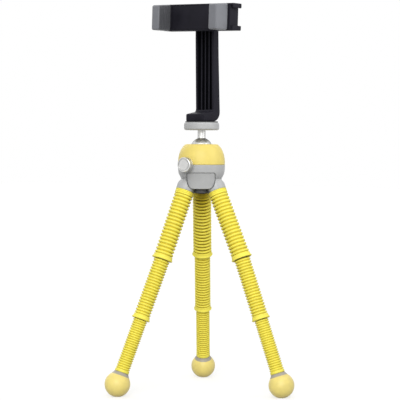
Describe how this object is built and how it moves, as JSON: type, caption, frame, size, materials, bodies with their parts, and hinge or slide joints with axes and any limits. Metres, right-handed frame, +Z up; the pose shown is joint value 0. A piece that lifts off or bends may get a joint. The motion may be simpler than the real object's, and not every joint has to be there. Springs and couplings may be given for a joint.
{
  "type": "tripod",
  "caption": "Small flexible tripod: ribbed bendable legs with ball feet, a lockable ball head and a turning phone clamp with a sprung jaw and an accessory shoe.",
  "frame": {"origin": "on the floor, in the middle of the rectangle around the three feet", "axes": "+Z up; the phone clamp faces -Y and its jaws open along X, with the accessory shoe at +X"},
  "size_m": [0.1494, 0.1566, 0.3309],
  "materials": {
    "grey_plastic": "satin grey",
    "yellow_plastic": "satin yellow",
    "yellow_rubber": "soft yellow",
    "foot_grey": "warm grey",
    "black_plastic": "satin black",
    "grey_rubber": "soft grey",
    "black_rubber": "matt black",
    "polished_steel": "polished",
    "knob_metal": "turned",
    "steel": "zinc plated",
    "brass": "machined",
    "core_plastic": "dark nylon",
    "white_plastic": "acetal"
  },
  "bodies": {
    "hub": {"hub_shell": "grey_plastic", "hub_panels": "grey_plastic", "leg_sockets": "grey_plastic", "base_plate": "grey_plastic", "base_screw": "steel", "shell_screws": "steel", "root_links": "core_plastic", "head_cap": "yellow_plastic", "cup_spring": "steel", "lock_nut": "brass", "right_sleeve_1": "yellow_rubber", "back_sleeve_1": "yellow_rubber", "left_sleeve_1": "yellow_rubber"},
    "ball_seat": {"ball_cup": "white_plastic"},
    "ball": {"ball_stud": "polished_steel", "camera_plate": "grey_plastic", "plate_pad": "black_rubber", "camera_screw": "steel"},
    "lock_slider": {"lock_shoe": "steel"},
    "lock_handle": {"lock_screw": "steel", "lock_knob": "knob_metal"},
    "arm": {"phone_arm": "black_plastic", "arm_insert": "brass"},
    "clamp": {"clamp_body": "black_plastic", "clamp_cover": "black_plastic", "cover_screws": "steel", "fixed_jaw_pad": "grey_rubber", "pivot_bolt": "steel", "pivot_washer": "white_plastic", "clamp_springs": "steel"},
    "jaw": {"sliding_jaw": "black_plastic", "sliding_jaw_pad": "grey_rubber", "guide_rods": "steel"},
    "right_leg_1": {"right_link_1": "core_plastic", "right_sleeve_2": "yellow_rubber"},
    "right_leg_2": {"right_link_2": "core_plastic", "right_sleeve_3": "yellow_rubber"},
    "right_leg_3": {"right_link_3": "core_plastic", "right_sleeve_4": "yellow_rubber"},
    "right_leg_4": {"right_link_4": "core_plastic", "right_foot_collar": "foot_grey", "right_foot": "yellow_rubber"},
    "back_leg_1": {"back_link_1": "core_plastic", "back_sleeve_2": "yellow_rubber"},
    "back_leg_2": {"back_link_2": "core_plastic", "back_sleeve_3": "yellow_rubber"},
    "back_leg_3": {"back_link_3": "core_plastic", "back_sleeve_4": "yellow_rubber"},
    "back_leg_4": {"back_link_4": "core_plastic", "back_foot_collar": "foot_grey", "back_foot": "yellow_rubber"},
    "left_leg_1": {"left_link_1": "core_plastic", "left_sleeve_2": "yellow_rubber"},
    "left_leg_2": {"left_link_2": "core_plastic", "left_sleeve_3": "yellow_rubber"},
    "left_leg_3": {"left_link_3": "core_plastic", "left_sleeve_4": "yellow_rubber"},
    "left_leg_4": {"left_link_4": "core_plastic", "left_foot_collar": "foot_grey", "left_foot": "yellow_rubber"}
  },
  "joints": [
    {"name": "right_spread", "type": "hinge", "parent": "hub", "child": "right_leg_1", "pos_m": [0.00736, 0.00992, 0.15775], "axis": [0.1625, -0.9867, 0], "range_deg": [-20, 60], "deforming": ["right_sleeve_1"]},
    {"name": "right_swing", "type": "hinge", "parent": "right_leg_1", "child": "right_leg_2", "pos_m": [0.01852, 0.01176, 0.1318], "axis": [0.9046, 0.149, 0.3993], "range_deg": [-45, 45], "deforming": ["right_sleeve_2"]},
    {"name": "right_knee_bend", "type": "hinge", "parent": "right_leg_2", "child": "right_leg_3", "pos_m": [0.03458, 0.0144, 0.09113], "axis": [0.1625, -0.9867, 0], "range_deg": [-30, 60], "deforming": ["right_sleeve_3"]},
    {"name": "right_ankle_swing", "type": "hinge", "parent": "right_leg_3", "child": "right_leg_4", "pos_m": [0.05253, 0.01736, 0.042], "axis": [0.9266, 0.1526, 0.3437], "range_deg": [-45, 45], "deforming": ["right_sleeve_4"]},
    {"name": "back_spread", "type": "hinge", "parent": "hub", "child": "back_leg_1", "pos_m": [-0.02735, 0.02287, 0.15764], "axis": [0.7733, 0.6341, 0], "range_deg": [-20, 60], "deforming": ["back_sleeve_1"]},
    {"name": "back_swing", "type": "hinge", "parent": "back_leg_1", "child": "back_leg_2", "pos_m": [-0.03416, 0.03117, 0.13145], "axis": [-0.5866, 0.7155, 0.3795], "range_deg": [-45, 45], "deforming": ["back_sleeve_2"]},
    {"name": "back_knee_bend", "type": "hinge", "parent": "back_leg_2", "child": "back_leg_3", "pos_m": [-0.04455, 0.04384, 0.09081], "axis": [0.7733, 0.6341, 0], "range_deg": [-30, 60], "deforming": ["back_sleeve_3"]},
    {"name": "back_ankle_swing", "type": "hinge", "parent": "back_leg_3", "child": "back_leg_4", "pos_m": [-0.05652, 0.05844, 0.04193], "axis": [-0.5943, 0.7248, 0.3486], "range_deg": [-45, 45], "deforming": ["back_sleeve_4"]},
    {"name": "left_spread", "type": "hinge", "parent": "hub", "child": "left_leg_1", "pos_m": [-0.02124, -0.01312, 0.15749], "axis": [-0.9358, 0.3527, 0], "range_deg": [-20, 60], "deforming": ["left_sleeve_1"]},
    {"name": "left_swing", "type": "hinge", "parent": "left_leg_1", "child": "left_leg_2", "pos_m": [-0.02476, -0.02245, 0.13101], "axis": [-0.3301, -0.8758, 0.3522], "range_deg": [-45, 45], "deforming": ["left_sleeve_2"]},
    {"name": "left_knee_bend", "type": "hinge", "parent": "left_leg_2", "child": "left_leg_3", "pos_m": [-0.03038, -0.03738, 0.0902], "axis": [-0.9358, 0.3527, 0], "range_deg": [-30, 60], "deforming": ["left_sleeve_3"]},
    {"name": "left_ankle_swing", "type": "hinge", "parent": "left_leg_3", "child": "left_leg_4", "pos_m": [-0.03729, -0.0557, 0.04159], "axis": [-0.327, -0.8676, 0.3746], "range_deg": [-45, 45], "deforming": ["left_sleeve_4"]},
    {"name": "ball_pan", "type": "hinge", "parent": "hub", "child": "ball_seat", "pos_m": [-0.01387, 0.00643, 0.20687], "axis": [0, 0, 1], "continuous": true},
    {"name": "ball_tilt", "type": "hinge", "parent": "ball_seat", "child": "ball", "pos_m": [-0.01387, 0.00643, 0.20687], "axis": [1, 0, 0], "range_deg": [-40, 40]},
    {"name": "lock_travel", "type": "slide", "parent": "hub", "child": "lock_slider", "axis": [0.1279, -0.9918, 0], "range_m": [0, 0.0012]},
    {"name": "lock_turn", "type": "hinge", "parent": "lock_slider", "child": "lock_handle", "pos_m": [-0.01387, 0.00643, 0.19347], "axis": [0.1279, -0.9918, 0], "range_deg": [0, 600]},
    {"name": "arm_turn", "type": "hinge", "parent": "ball", "child": "arm", "pos_m": [-0.01387, 0.00643, 0.23027], "axis": [0, 0, 1], "continuous": true},
    {"name": "clamp_turn", "type": "hinge", "parent": "arm", "child": "clamp", "pos_m": [-0.01387, 0.00863, 0.31837], "axis": [0, -1, 0], "continuous": true},
    {"name": "jaw_slide", "type": "slide", "parent": "clamp", "child": "jaw", "axis": [-0.9994, 0, 0.0349], "range_m": [0, 0.035], "stiffness_N_per_m": 150, "springref_m": -0.02, "deforming": ["clamp_springs"]}
  ],
  "couplings": [
    {"joint": "lock_turn", "follows": "lock_travel", "rad_per_m": 7854}
  ]
}
